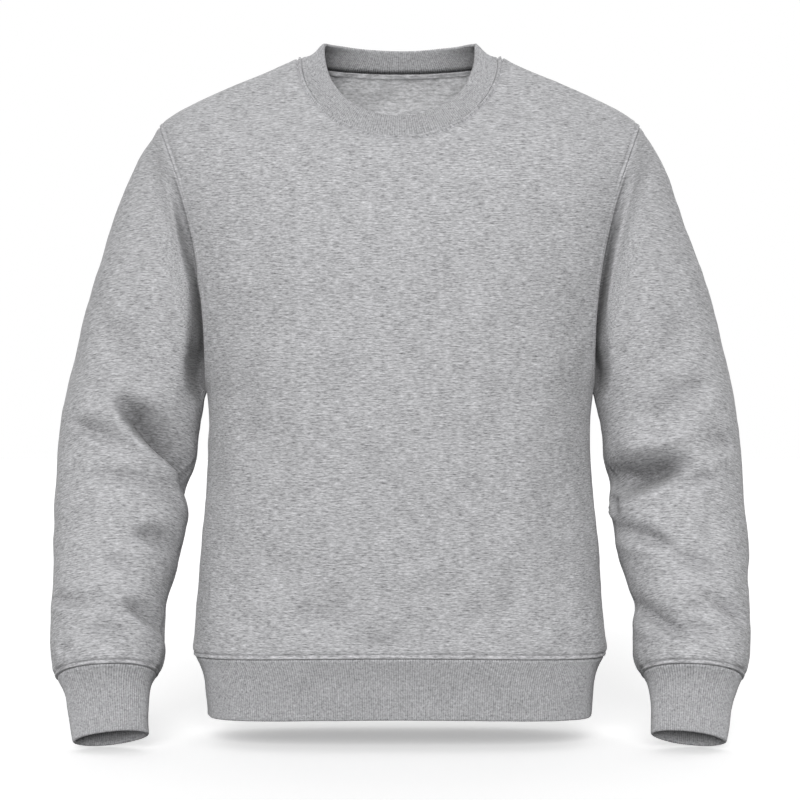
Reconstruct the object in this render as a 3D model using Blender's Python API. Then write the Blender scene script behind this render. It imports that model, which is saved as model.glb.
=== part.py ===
"""A crewneck sweatshirt in heather fleece, filled out as if worn by nobody.

Metres, +Z up. The front faces -Y and the wearer's left is +X. The origin is midway
between the two neck points of the shoulder seams, where the garment hangs on its wearer.

The outer face of the whole garment is worked out first as one welded form: two body
panels and two sleeves, with the ribbed neckband, hem band and cuffs that end them. Each
piece is then cut from that form along its seams and given its own thickness inwards.
"""

import math

import bmesh
import bpy
import numpy as np
from mathutils import Vector

CLOTH = 0.002
RIB = 0.0036
SEAM_GAP = 0.0003

# The hem hangs lowest at the side seams. It lifts towards the middle of each face.
HEM_SEAM = -0.6275
HEM_END = -0.690
HEM_LIFT = 0.005
NECK_HALF = 0.103
NECK_FRONT_DROP = 0.092
NECK_BACK_DROP = 0.008
COLLAR_HALF = 0.079
COLLAR_FRONT = -0.088
COLLAR_BACK = 0.058
COLLAR_SIDE_TOP = 0.0175
COLLAR_FRONT_TOP = -0.066
COLLAR_BACK_TOP = 0.0145
COLLAR_BULGE = 0.0005
COLLAR_ROUND = 0.12

SHOULDER_X = 0.2526
SHOULDER_Z = -0.074
UNDERARM_X = 0.2034
UNDERARM_Z = -0.350
ARMHOLE_BOW = 0.0185
CUFF_SEAM = 0.613
CUFF_END = 0.682
SEAM_BLEND = 0.034

FRONT = -1
BACK = 1

# How closely the form is faceted: steps from the middle of a panel to its side, round half
# an armhole and up a side seam, and the places of the rows that are spaced by hand.
ACROSS = 10
ARMHOLE_STEPS = 10
SIDE_STEPS = 8
HEM_ROW = 0.005
YOKE_LEVELS = (0.22, 0.42, 0.6, 0.78, 0.93, 1.0)
NECKBAND_LEVELS = (0.0, 0.16, 0.7, 1.0)
HEM_LEVELS = (0.0, 0.2, 0.5, 1.0)
SLEEVE_HEAD = (0.0, 0.008, 0.020, 0.034, 0.055, 0.085)
SLEEVE_STEPS = 13
SLEEVE_WRIST = (0.592, 0.604, CUFF_SEAM)
CUFF_ROWS = (CUFF_SEAM, 0.622, 0.633, 0.650, CUFF_END)
SEAM_POINTS = 40
WELD = 0.00002

# A seam's two pieces part along the cloth and, where the cloth folds at the seam, off it.
GAP_ALONG = 0.7
GAP_OFF_FOLD = 1.7

CLOTH_ROUGHNESS = 0.95
SHARP_ANGLE = math.radians(40)


class Table:
    """Rows under named columns, read as smooth curves of the first column."""

    def __init__(self, names, *rows):
        self.names = names.split()
        self.rows = np.array(sorted(rows))

    def __call__(self, name, at):
        knots = self.rows[:, 0]
        values = self.rows[:, self.names.index(name)]
        slopes = np.gradient(values, knots)
        at = np.clip(at, knots[0], knots[-1])
        left = np.clip(np.searchsorted(knots, at) - 1, 0, len(knots) - 2)
        step = knots[left + 1] - knots[left]
        t = (at - knots[left]) / step
        start = (1 + 2 * t) * (1 - t) ** 2 * values[left] + t * (1 - t) ** 2 * step * slopes[left]
        end = t * t * (3 - 2 * t) * values[left + 1] - t * t * (1 - t) * step * slopes[left + 1]
        return start + end


# The body in level sections. Above the underarm the sleeves cut its sides away.
TORSO = Table(
    "z       width   front   back    square",
    (+0.000, 0.1030, 0.0180, 0.0500, 2.20),
    (-0.003, 0.1100, 0.0220, 0.0590, 2.20),
    (-0.008, 0.1220, 0.0280, 0.0650, 2.20),
    (-0.014, 0.1350, 0.0350, 0.0700, 2.20),
    (-0.031, 0.1750, 0.0490, 0.0810, 2.20),
    (-0.041, 0.1985, 0.0560, 0.0870, 2.20),
    (-0.060, 0.2358, 0.0710, 0.0960, 2.25),
    (-0.074, 0.2526, 0.0830, 0.1020, 2.30),
    (-0.080, 0.2568, 0.0880, 0.1045, 2.30),
    (-0.092, 0.2615, 0.0970, 0.1080, 2.35),
    (-0.115, 0.2622, 0.1080, 0.1140, 2.40),
    (-0.135, 0.2595, 0.1150, 0.1180, 2.40),
    (-0.165, 0.2505, 0.1230, 0.1230, 2.40),
    (-0.200, 0.2385, 0.1290, 0.1270, 2.40),
    (-0.240, 0.2297, 0.1330, 0.1290, 2.40),
    (-0.275, 0.2212, 0.1350, 0.1285, 2.40),
    (-0.300, 0.2155, 0.1360, 0.1280, 2.40),
    (-0.335, 0.2068, 0.1365, 0.1260, 2.40),
    (-0.350, 0.2034, 0.1365, 0.1250, 2.40),
    (-0.365, 0.2015, 0.1365, 0.1240, 2.40),
    (-0.400, 0.2000, 0.1360, 0.1210, 2.40),
    (-0.445, 0.2020, 0.1340, 0.1180, 2.40),
    (-0.490, 0.2058, 0.1310, 0.1165, 2.40),
    (-0.530, 0.2098, 0.1280, 0.1160, 2.40),
    (-0.570, 0.2125, 0.1245, 0.1155, 2.60),
    (-0.605, 0.2155, 0.1215, 0.1140, 2.90),
    (-0.622, 0.2160, 0.1195, 0.1120, 3.00),
    (-0.636, 0.2120, 0.1160, 0.1090, 3.10),
    (-0.652, 0.2068, 0.1130, 0.1065, 3.20),
    (-0.670, 0.2044, 0.1110, 0.1050, 3.20),
    (-0.690, 0.2035, 0.1100, 0.1040, 3.20),
)

# How far a row of the panel sags from its edge to its middle, by the height of its edge.
# A larger hold keeps the row level for longer beside its edge.
PANEL_SAG = Table(
    "z       front   back    hold",
    (-0.6275, -0.0050, -0.0050, 2.0),
    (-0.570, -0.0010, -0.0010, 2.0),
    (-0.350, 0.0120, 0.0040, 2.0),
    (-0.300, 0.0230, 0.0070, 2.2),
    (-0.212, 0.0560, 0.0180, 2.8),
    (-0.131, 0.0920, 0.0370, 3.3),
    (-0.085, 0.1060, 0.0410, 3.5),
    (-0.074, 0.1000, 0.0300, 3.5),
)

# The arm in sections that turn like a fan about the underarm, then cross the arm. Each
# runs from a point at the body to a point outside, both seen from the front.
SLEEVE = Table(
    "along   body_x  body_z   out_x   out_z    middle   depth   bow     pitch square",
    (+0.000, 0.2034, -0.3500, 0.2526, -0.0740, +0.0040, 0.0650, 0.0185, 0.00, 2.00),
    (+0.039, 0.2043, -0.3530, 0.2750, -0.1080, +0.0050, 0.0630, 0.0110, 0.00, 2.50),
    (+0.084, 0.2052, -0.3560, 0.2920, -0.1500, +0.0060, 0.0635, 0.0070, 0.00, 2.45),
    (+0.129, 0.2061, -0.3595, 0.3070, -0.1920, +0.0070, 0.0640, 0.0040, 0.00, 2.40),
    (+0.173, 0.2070, -0.3635, 0.3210, -0.2340, +0.0080, 0.0645, 0.0020, 0.01, 2.30),
    (+0.217, 0.2080, -0.3690, 0.3330, -0.2760, +0.0080, 0.0645, 0.0000, 0.03, 2.25),
    (+0.261, 0.2095, -0.3770, 0.3430, -0.3190, +0.0060, 0.0640, 0.0000, 0.06, 2.20),
    (+0.304, 0.2118, -0.3880, 0.3520, -0.3600, +0.0030, 0.0630, 0.0000, 0.10, 2.20),
    (+0.336, 0.2140, -0.4040, 0.3565, -0.3920, -0.0010, 0.0620, 0.0000, 0.14, 2.20),
    (+0.364, 0.2145, -0.4290, 0.3583, -0.4190, -0.0050, 0.0605, 0.0000, 0.19, 2.20),
    (+0.390, 0.2185, -0.4520, 0.3595, -0.4440, -0.0100, 0.0590, 0.0000, 0.24, 2.20),
    (+0.424, 0.2225, -0.4820, 0.3615, -0.4760, -0.0170, 0.0575, 0.0000, 0.28, 2.20),
    (+0.462, 0.2265, -0.5150, 0.3620, -0.5120, -0.0270, 0.0555, 0.0000, 0.32, 2.20),
    (+0.499, 0.2350, -0.5450, 0.3608, -0.5450, -0.0370, 0.0530, 0.0000, 0.36, 2.20),
    (+0.534, 0.2430, -0.5750, 0.3603, -0.5770, -0.0480, 0.0505, 0.0000, 0.38, 2.20),
    (+0.567, 0.2425, -0.6050, 0.3590, -0.6080, -0.0590, 0.0485, 0.0000, 0.40, 2.20),
    (+0.592, 0.2433, -0.6270, 0.3570, -0.6310, -0.0665, 0.0475, 0.0000, 0.40, 2.20),
    (+0.604, 0.2460, -0.6360, 0.3545, -0.6410, -0.0700, 0.0455, 0.0000, 0.40, 2.15),
    (+0.613, 0.2495, -0.6415, 0.3505, -0.6470, -0.0720, 0.0415, 0.0000, 0.40, 2.10),
    (+0.622, 0.2535, -0.6490, 0.3460, -0.6550, -0.0750, 0.0355, 0.0000, 0.40, 2.05),
    (+0.632, 0.2555, -0.6580, 0.3415, -0.6650, -0.0790, 0.0305, 0.0000, 0.40, 2.00),
    (+0.646, 0.2563, -0.6700, 0.3380, -0.6780, -0.0840, 0.0270, 0.0000, 0.41, 2.00),
    (+0.664, 0.2560, -0.6860, 0.3345, -0.6940, -0.0905, 0.0252, 0.0000, 0.42, 2.00),
    (+0.682, 0.2555, -0.7000, 0.3315, -0.7090, -0.0965, 0.0245, 0.0000, 0.42, 2.00),
)

# The hollow that runs down the sleeve beside the armhole seam: its distance from the seam,
# its half width, and its depth by height.
ARMHOLE_FOLD_REACH = 0.0095
ARMHOLE_FOLD_HALF = 0.0080
ARMHOLE_FOLD = Table(
    "z       depth",
    (-0.362, 0.0000),
    (-0.345, 0.0030),
    (-0.300, 0.0090),
    (-0.240, 0.0100),
    (-0.180, 0.0055),
    (-0.120, 0.0000),
)

# The largest folds of the sleeves: where each starts and ends seen from the front, its
# half width and its depth. A fold with face +1 is on the back of the sleeve.
SLEEVE_FOLDS = (
    # face, x,      z,      to_x,   to_z,   half,  depth
    (FRONT, -0.295, -0.365, -0.228, -0.412, 0.012, 0.0070),
    (FRONT, -0.350, -0.385, -0.285, -0.415, 0.010, 0.0035),
    (FRONT, -0.325, -0.440, -0.240, -0.455, 0.010, 0.0040),
    (FRONT, -0.315, -0.525, -0.245, -0.540, 0.010, 0.0035),
    (FRONT, +0.222, -0.428, +0.295, -0.412, 0.012, 0.0070),
    (FRONT, +0.240, -0.392, +0.325, -0.345, 0.011, 0.0035),
    (FRONT, +0.235, -0.490, +0.285, -0.512, 0.011, 0.0050),
    (FRONT, +0.262, -0.585, +0.335, -0.560, 0.010, 0.0035),
    (BACK, -0.330, -0.400, -0.240, -0.425, 0.013, 0.0050),
    (BACK, +0.240, -0.420, +0.330, -0.395, 0.013, 0.0050),
)

HEATHER = (0.46, 0.46, 0.475)
HEATHER_RIB = (0.40, 0.40, 0.415)
PIECES = (
    # name,         thickness, colour
    ("front", CLOTH, HEATHER),
    ("back", CLOTH, HEATHER),
    ("sleeve_left", CLOTH, HEATHER),
    ("sleeve_right", CLOTH, HEATHER),
    ("neckband", RIB, HEATHER_RIB),
    ("hem_band", RIB, HEATHER_RIB),
    ("cuff_left", RIB, HEATHER_RIB),
    ("cuff_right", RIB, HEATHER_RIB),
)


def between(low, high, share):
    return low + (high - low) * share


def ease(share):
    """0 to 1 with a level start and end."""
    share = min(max(share, 0.0), 1.0)
    return share * share * (3 - 2 * share)


def torso_point(turn, z, face):
    """A point of the body, turn being the angle from the middle of the face to its side."""
    power = TORSO("square", z)
    share = math.sin(turn)
    depth = TORSO("front" if face == FRONT else "back", z)
    y = face * depth * max(1 - abs(share) ** power, 0.0) ** (1 / power)
    return Vector((TORSO("width", z) * share, y, z))


def turn_at(x, z):
    return math.asin(min(max(x / TORSO("width", z), -1.0), 1.0))


def armhole(angle):
    """The armhole seam as x and z: angle 0 is the shoulder point, pi the underarm."""
    share = (1 + math.cos(angle)) / 2
    bow = ARMHOLE_BOW * math.sin(angle) ** 2
    return between(UNDERARM_X, SHOULDER_X, share) - bow, between(UNDERARM_Z, SHOULDER_Z, share)


def armhole_seam(face):
    """Points down one side of the wearer's left armhole."""
    places = [armhole(math.pi * k / SEAM_POINTS) for k in range(SEAM_POINTS + 1)]
    return [torso_point(turn_at(x, z), z, face) for x, z in places]


def column_shares():
    """Places across a panel from -1 to 1, closer together beside its side seams."""
    steps = [math.sin(k * math.pi / 2 / ACROSS) for k in range(ACROSS + 1)]
    return [-share for share in steps[:0:-1]] + steps


def neck_seam(share, face):
    """The neckline as a turn and a height, an oval seen from the front."""
    drop = NECK_FRONT_DROP if face == FRONT else NECK_BACK_DROP
    angle = share * math.pi / 2
    z = -drop * math.cos(angle)
    return turn_at(NECK_HALF * math.sin(angle), z), z


def body_panel(face):
    """Rows of points from the hem seam up to the neckline."""
    sag = "front" if face == FRONT else "back"
    above_hem = HEM_SEAM + HEM_ROW
    side_rows = [HEM_SEAM]
    side_rows += [between(above_hem, UNDERARM_Z, k / SIDE_STEPS) for k in range(SIDE_STEPS)]
    edges = [(math.pi / 2, z) for z in side_rows]
    for k in range(ARMHOLE_STEPS, -1, -1):
        x, z = armhole(math.pi * k / ARMHOLE_STEPS)
        edges.append((turn_at(x, z), z))
    rows = []
    for edge_turn, edge_z in edges:
        hold = PANEL_SAG("hold", edge_z)
        row = []
        for share in column_shares():
            turn = share * edge_turn
            sunk = math.cos(turn) ** hold - max(math.cos(edge_turn), 0.0) ** hold
            row.append((turn, edge_z - PANEL_SAG(sag, edge_z) * sunk))
        rows.append(row)
    below = rows[-1]
    for level in YOKE_LEVELS:
        row = []
        for share, (turn, z) in zip(column_shares(), below):
            neck_turn, neck_z = neck_seam(share, face)
            row.append((between(turn, neck_turn, level), between(z, neck_z, level)))
        rows.append(row)
    return [[torso_point(turn, z, face) for turn, z in row] for row in rows]


def neckband():
    """Rows of points round the neck, from the neckline seam up to the folded top edge."""
    seam = [torso_point(*neck_seam(share, FRONT), FRONT) for share in column_shares()]
    seam += [torso_point(*neck_seam(-share, BACK), BACK) for share in column_shares()[1:-1]]
    angles = [share * math.pi / 2 for share in column_shares()]
    angles += [math.pi + angle for angle in angles[1:-1]]
    top = []
    for angle in angles:
        ahead = math.cos(angle)
        reach = COLLAR_FRONT if ahead > 0 else -COLLAR_BACK
        rise = COLLAR_FRONT_TOP if ahead > 0 else COLLAR_BACK_TOP
        share = (1 + COLLAR_ROUND) * ahead * ahead / (abs(ahead) + COLLAR_ROUND)
        z = between(COLLAR_SIDE_TOP, rise, share)
        top.append(Vector((COLLAR_HALF * math.sin(angle), reach * ahead, z)))
    rows = []
    for level in NECKBAND_LEVELS:
        row = []
        for low, high in zip(seam, top):
            away = Vector((low.x, low.y, 0)).normalized()
            rise = high - low
            out = away * rise.z - Vector((0, 0, 1)) * rise.dot(away)
            point = low.lerp(high, level)
            row.append(point + out.normalized() * COLLAR_BULGE * math.sin(math.pi * level))
        rows.append(row)
    return rows


def hem_band():
    turns = [share * math.pi / 2 for share in column_shares()]
    rows = []
    for level in HEM_LEVELS:
        side = between(HEM_SEAM, HEM_END, level)
        heights = [side + HEM_LIFT * math.cos(turn) ** 2 for turn in turns]
        row = [torso_point(turn, z, FRONT) for turn, z in zip(turns, heights)]
        row += [torso_point(-turn, z, BACK) for turn, z in list(zip(turns, heights))[1:-1]]
        rows.append(row)
    return rows


SEAMS = {face: armhole_seam(face) for face in (FRONT, BACK)}


def arm_point(side, angle, along):
    """A point of the sleeve or cuff: angle 0 is outside, half pi in front, pi at the body."""
    low_x, low_z = SLEEVE("body_x", along), SLEEVE("body_z", along)
    half_x, half_z = (SLEEVE("out_x", along) - low_x) / 2, (SLEEVE("out_z", along) - low_z) / 2
    power = 2 / SLEEVE("square", along)
    out = math.copysign(abs(math.cos(angle)) ** power, math.cos(angle))
    ahead = math.copysign(abs(math.sin(angle)) ** power, math.sin(angle))
    bow = SLEEVE("bow", along) * math.sin(angle) ** 2
    x = low_x + half_x * (1 + out) - bow
    z = low_z + half_z * (1 + out)
    middle = SLEEVE("middle", along)
    y = middle - SLEEVE("depth", along) * ahead
    face = FRONT if ahead > 0 else BACK
    if along < SEAM_BLEND:
        seam_x, seam_z = armhole(angle)
        seam = torso_point(turn_at(seam_x, seam_z), seam_z, face)
        y = between(seam.y, y, ease(along / SEAM_BLEND))
    z += (middle - y) * SLEEVE("pitch", along)
    if along > 0:
        y -= face * armhole_fold_depth(Vector((x, y, z)), face)
    return Vector((side * x, y, z))


def armhole_fold_depth(point, face):
    distance = min((point - seam).length for seam in SEAMS[face])
    off = (distance - ARMHOLE_FOLD_REACH) / ARMHOLE_FOLD_HALF
    return ARMHOLE_FOLD("depth", point.z) * math.exp(-off * off)


def arm_rows(side, stations):
    angles = [math.pi * k / ARMHOLE_STEPS for k in range(2 * ARMHOLE_STEPS)]
    return [[arm_point(side, angle, along) for angle in angles] for along in stations]


def sleeve(side):
    start, end = SLEEVE_HEAD[-1], SLEEVE_WRIST[0]
    arm = [between(start, end, k / SLEEVE_STEPS) for k in range(1, SLEEVE_STEPS)]
    return arm_rows(side, [*SLEEVE_HEAD, *arm, *SLEEVE_WRIST])


def cuff(side):
    return arm_rows(side, CUFF_ROWS)


def fold_depth(point, normal):
    """How far the large folds draw a sleeve's cloth inwards at a point."""
    depth = 0.0
    for face, x, z, to_x, to_z, half, fold in SLEEVE_FOLDS:
        run_x, run_z = to_x - x, to_z - z
        reach = (point.x - x) * run_x + (point.z - z) * run_z
        share = reach / (run_x * run_x + run_z * run_z)
        near = min(max(share, 0.0), 1.0)
        off = math.hypot(point.x - x - near * run_x, point.z - z - near * run_z) / half
        if normal.y * face > 0:
            depth += fold * math.exp(-off * off) * abs(normal.y) ** 0.5
    return depth


def add_grid(form, layer, index, rows, closed):
    grid = [[form.verts.new(point) for point in row] for row in rows]
    count = len(rows[0])
    for low, high in zip(grid, grid[1:]):
        for k in range(count if closed else count - 1):
            following = (k + 1) % count
            face = form.faces.new((low[k], low[following], high[following], high[k]))
            face[layer] = index


def outer_form():
    """The whole outer face in one mesh, welded at the seams, with each face's piece."""
    form = bmesh.new()
    layer = form.faces.layers.int.new("piece")
    grids = (
        (body_panel(FRONT), False),
        (body_panel(BACK), False),
        (sleeve(1), True),
        (sleeve(-1), True),
        (neckband(), True),
        (hem_band(), True),
        (cuff(1), True),
        (cuff(-1), True),
    )
    for index, (rows, closed) in enumerate(grids):
        add_grid(form, layer, index, rows, closed)
    bmesh.ops.remove_doubles(form, verts=form.verts, dist=WELD)
    bmesh.ops.recalc_face_normals(form, faces=form.faces)
    chest = min(form.faces, key=lambda face: face.calc_center_median().y)
    if chest.normal.y > 0:
        bmesh.ops.reverse_faces(form, faces=form.faces)
    form.normal_update()
    sleeves = [index for index, row in enumerate(PIECES) if row[0].startswith("sleeve")]
    arms = {vert for face in form.faces if face[layer] in sleeves for vert in face.verts}
    rest = {vert for face in form.faces if face[layer] not in sleeves for vert in face.verts}
    moves = {vert: vert.normal * fold_depth(vert.co, vert.normal) for vert in arms - rest}
    for vert, move in moves.items():
        vert.co -= move
    form.normal_update()
    form.verts.index_update()
    return form, layer


def cut_piece(form, layer, index, thickness):
    """The wall of one piece: its outer faces, the same moved inwards, and its edges."""
    faces = [face for face in form.faces if face[layer] == index]
    piece = bmesh.new()
    outer, inner = {}, {}
    for vert in sorted({vert for face in faces for vert in face.verts}, key=lambda v: v.index):
        mine = [face for face in vert.link_faces if face[layer] == index]
        place = vert.co.copy()
        if any(edge_count(edge, layer, index) == 1 for edge in vert.link_edges):
            place += seam_clearance(vert, mine)
        outer[vert] = piece.verts.new(place)
        inner[vert] = piece.verts.new(place - vert.normal * thickness)
    for face in faces:
        piece.faces.new([outer[vert] for vert in face.verts])
        piece.faces.new([inner[vert] for vert in reversed(face.verts)])
        for loop in face.loops:
            if edge_count(loop.edge, layer, index) == 1:
                start, end = loop.vert, loop.link_loop_next.vert
                if start.index < end.index:
                    piece.faces.new((outer[end], outer[start], inner[end]))
                    piece.faces.new((outer[start], inner[start], inner[end]))
                else:
                    piece.faces.new((outer[end], outer[start], inner[start]))
                    piece.faces.new((outer[end], inner[start], inner[end]))
    return piece


def seam_clearance(vert, mine):
    """The move that keeps a seam's two pieces apart, along the cloth or, in a fold, off it."""
    middle = sum((face.calc_center_median() for face in mine), Vector()) / len(mine)
    facing = sum((face.normal for face in mine), Vector()).normalized()
    pull = middle - vert.co
    pull -= facing * pull.dot(facing)
    folded = 1 - max(facing.dot(vert.normal), 0.0)
    return (pull.normalized() * GAP_ALONG - facing * folded * GAP_OFF_FOLD) * SEAM_GAP


def edge_count(edge, layer, index):
    return sum(face[layer] == index for face in edge.link_faces)


def cloth_material(name, colour):
    material = bpy.data.materials.new(name)
    material.use_nodes = True
    shader = material.node_tree.nodes["Principled BSDF"]
    shader.inputs["Base Color"].default_value = (*colour, 1)
    shader.inputs["Roughness"].default_value = CLOTH_ROUGHNESS
    shader.inputs["Metallic"].default_value = 0.0
    return material


def clear_scene():
    for item in list(bpy.data.objects):
        bpy.data.objects.remove(item, do_unlink=True)


def build():
    clear_scene()
    garment = bpy.data.collections.new("crewneck_sweatshirt")
    bpy.context.scene.collection.children.link(garment)
    hold = bpy.data.objects.new("held_at_neck", None)
    garment.objects.link(hold)
    form, layer = outer_form()
    for index, (name, thickness, colour) in enumerate(PIECES):
        piece = cut_piece(form, layer, index, thickness)
        mesh = bpy.data.meshes.new(name)
        piece.to_mesh(mesh)
        piece.free()
        mesh.shade_smooth()
        mesh.set_sharp_from_angle(angle=SHARP_ANGLE)
        mesh.materials.append(cloth_material(name + "_cloth", colour))
        solid = bpy.data.objects.new(name, mesh)
        solid.parent = hold
        garment.objects.link(solid)
    form.free()


build()
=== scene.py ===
"""The looks of a crewneck sweatshirt in heather fleece, filled out as if worn by nobody.

Metres, +Z up. The front faces -Y and the wearer's left is +X. Each cut piece is a thin
wall on the form of its solid: a grid of points on the garment's outer face, moved along
the way the cloth faces by its creases and seams, and the same grid again on the inside.
"""

import math
from collections import namedtuple

import bpy
import numpy as np
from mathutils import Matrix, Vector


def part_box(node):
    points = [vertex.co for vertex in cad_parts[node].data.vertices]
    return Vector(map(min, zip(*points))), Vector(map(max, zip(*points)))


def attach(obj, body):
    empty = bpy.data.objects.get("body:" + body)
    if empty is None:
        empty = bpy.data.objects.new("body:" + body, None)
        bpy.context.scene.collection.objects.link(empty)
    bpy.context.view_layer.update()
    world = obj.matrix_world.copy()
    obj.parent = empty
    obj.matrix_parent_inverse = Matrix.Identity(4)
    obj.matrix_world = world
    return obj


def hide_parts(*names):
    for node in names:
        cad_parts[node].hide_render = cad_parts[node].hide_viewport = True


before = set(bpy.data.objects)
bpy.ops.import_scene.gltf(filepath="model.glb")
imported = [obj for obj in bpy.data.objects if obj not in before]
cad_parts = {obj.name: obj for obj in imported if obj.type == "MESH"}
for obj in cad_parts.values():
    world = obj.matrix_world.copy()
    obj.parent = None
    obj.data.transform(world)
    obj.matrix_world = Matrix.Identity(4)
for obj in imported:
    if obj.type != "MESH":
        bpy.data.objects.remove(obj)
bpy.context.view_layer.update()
MM = 0.001

CLOTH = 2.0 * MM
THINNEST = 0.8 * MM
RIB = 3.6 * MM
# The hem hangs lowest at the side seams. It lifts towards the middle of each face.
HEM_SEAM = -0.6275
HEM_END = -0.690
HEM_LIFT = 0.005
NECK_HALF = 0.103
NECK_FRONT_DROP = 0.092
NECK_BACK_DROP = 0.008
COLLAR_HALF = 0.079
COLLAR_FRONT = 0.088
COLLAR_BACK = 0.058
COLLAR_SIDE_TOP = 0.0148
COLLAR_FRONT_TOP = -0.0705
COLLAR_BACK_TOP = 0.0152
COLLAR_BACK_ARCH = 0.0110
COLLAR_BULGE = 0.5 * MM
COLLAR_FLARE = 6.0 * MM
COLLAR_SQUARE = 0.8
COLLAR_ROUND = 0.06

SHOULDER_X = 0.2526
SHOULDER_Z = -0.074
UNDERARM_X = 0.2034
UNDERARM_Z = -0.350
ARMHOLE_BOW = 0.0185
CUFF_SEAM = 0.613
CUFF_END = 0.682
SEAM_BLEND = 0.034

FRONT = -1
BACK = 1


class Table:
    """Rows under named columns, read as smooth curves of the first column."""

    def __init__(self, names, *rows):
        self.names = names.split()
        self.rows = np.array(sorted(rows))

    def __call__(self, name, at):
        knots = self.rows[:, 0]
        values = self.rows[:, self.names.index(name)]
        slopes = np.gradient(values, knots)
        at = np.clip(at, knots[0], knots[-1])
        left = np.clip(np.searchsorted(knots, at) - 1, 0, len(knots) - 2)
        step = knots[left + 1] - knots[left]
        t = (at - knots[left]) / step
        start = (1 + 2 * t) * (1 - t) ** 2 * values[left] + t * (1 - t) ** 2 * step * slopes[left]
        end = t * t * (3 - 2 * t) * values[left + 1] - t * t * (1 - t) * step * slopes[left + 1]
        return start + end


# The body in level sections. Above the underarm the sleeves cut its sides away.
TORSO = Table(
    "z       width   front   back    square",
    (+0.000, 0.1030, 0.0180, 0.0500, 2.20),
    (-0.003, 0.1100, 0.0220, 0.0590, 2.20),
    (-0.008, 0.1220, 0.0280, 0.0650, 2.20),
    (-0.014, 0.1350, 0.0350, 0.0700, 2.20),
    (-0.031, 0.1750, 0.0490, 0.0810, 2.20),
    (-0.041, 0.1985, 0.0560, 0.0870, 2.20),
    (-0.060, 0.2358, 0.0710, 0.0960, 2.25),
    (-0.074, 0.2526, 0.0830, 0.1020, 2.30),
    (-0.080, 0.2568, 0.0880, 0.1045, 2.30),
    (-0.092, 0.2615, 0.0970, 0.1080, 2.35),
    (-0.115, 0.2622, 0.1080, 0.1140, 2.40),
    (-0.135, 0.2595, 0.1150, 0.1180, 2.40),
    (-0.165, 0.2505, 0.1230, 0.1230, 2.40),
    (-0.200, 0.2385, 0.1290, 0.1270, 2.40),
    (-0.240, 0.2297, 0.1330, 0.1290, 2.40),
    (-0.275, 0.2212, 0.1350, 0.1285, 2.40),
    (-0.300, 0.2155, 0.1360, 0.1280, 2.40),
    (-0.335, 0.2068, 0.1365, 0.1260, 2.40),
    (-0.350, 0.2034, 0.1365, 0.1250, 2.40),
    (-0.365, 0.2015, 0.1365, 0.1240, 2.40),
    (-0.400, 0.2000, 0.1360, 0.1210, 2.40),
    (-0.445, 0.2020, 0.1340, 0.1180, 2.40),
    (-0.490, 0.2058, 0.1310, 0.1165, 2.40),
    (-0.530, 0.2098, 0.1280, 0.1160, 2.40),
    (-0.570, 0.2125, 0.1245, 0.1155, 2.60),
    (-0.605, 0.2155, 0.1215, 0.1140, 2.90),
    (-0.622, 0.2160, 0.1195, 0.1120, 3.00),
    (-0.636, 0.2088, 0.1160, 0.1090, 3.10),
    (-0.652, 0.2040, 0.1130, 0.1065, 3.20),
    (-0.670, 0.2018, 0.1110, 0.1050, 3.20),
    (-0.690, 0.2005, 0.1100, 0.1040, 3.20),
)

# How far a row of the panel sags from its edge to its middle, by the height of its edge.
# A larger hold keeps the row level for longer beside its edge.
PANEL_SAG = Table(
    "z       front   back    hold",
    (-0.6275, -0.0050, -0.0050, 2.0),
    (-0.570, -0.0010, -0.0010, 2.0),
    (-0.350, 0.0120, 0.0040, 2.0),
    (-0.300, 0.0230, 0.0070, 2.2),
    (-0.212, 0.0560, 0.0180, 2.8),
    (-0.131, 0.0920, 0.0370, 3.3),
    (-0.085, 0.1060, 0.0410, 3.5),
    (-0.074, 0.1000, 0.0300, 3.5),
)

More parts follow.
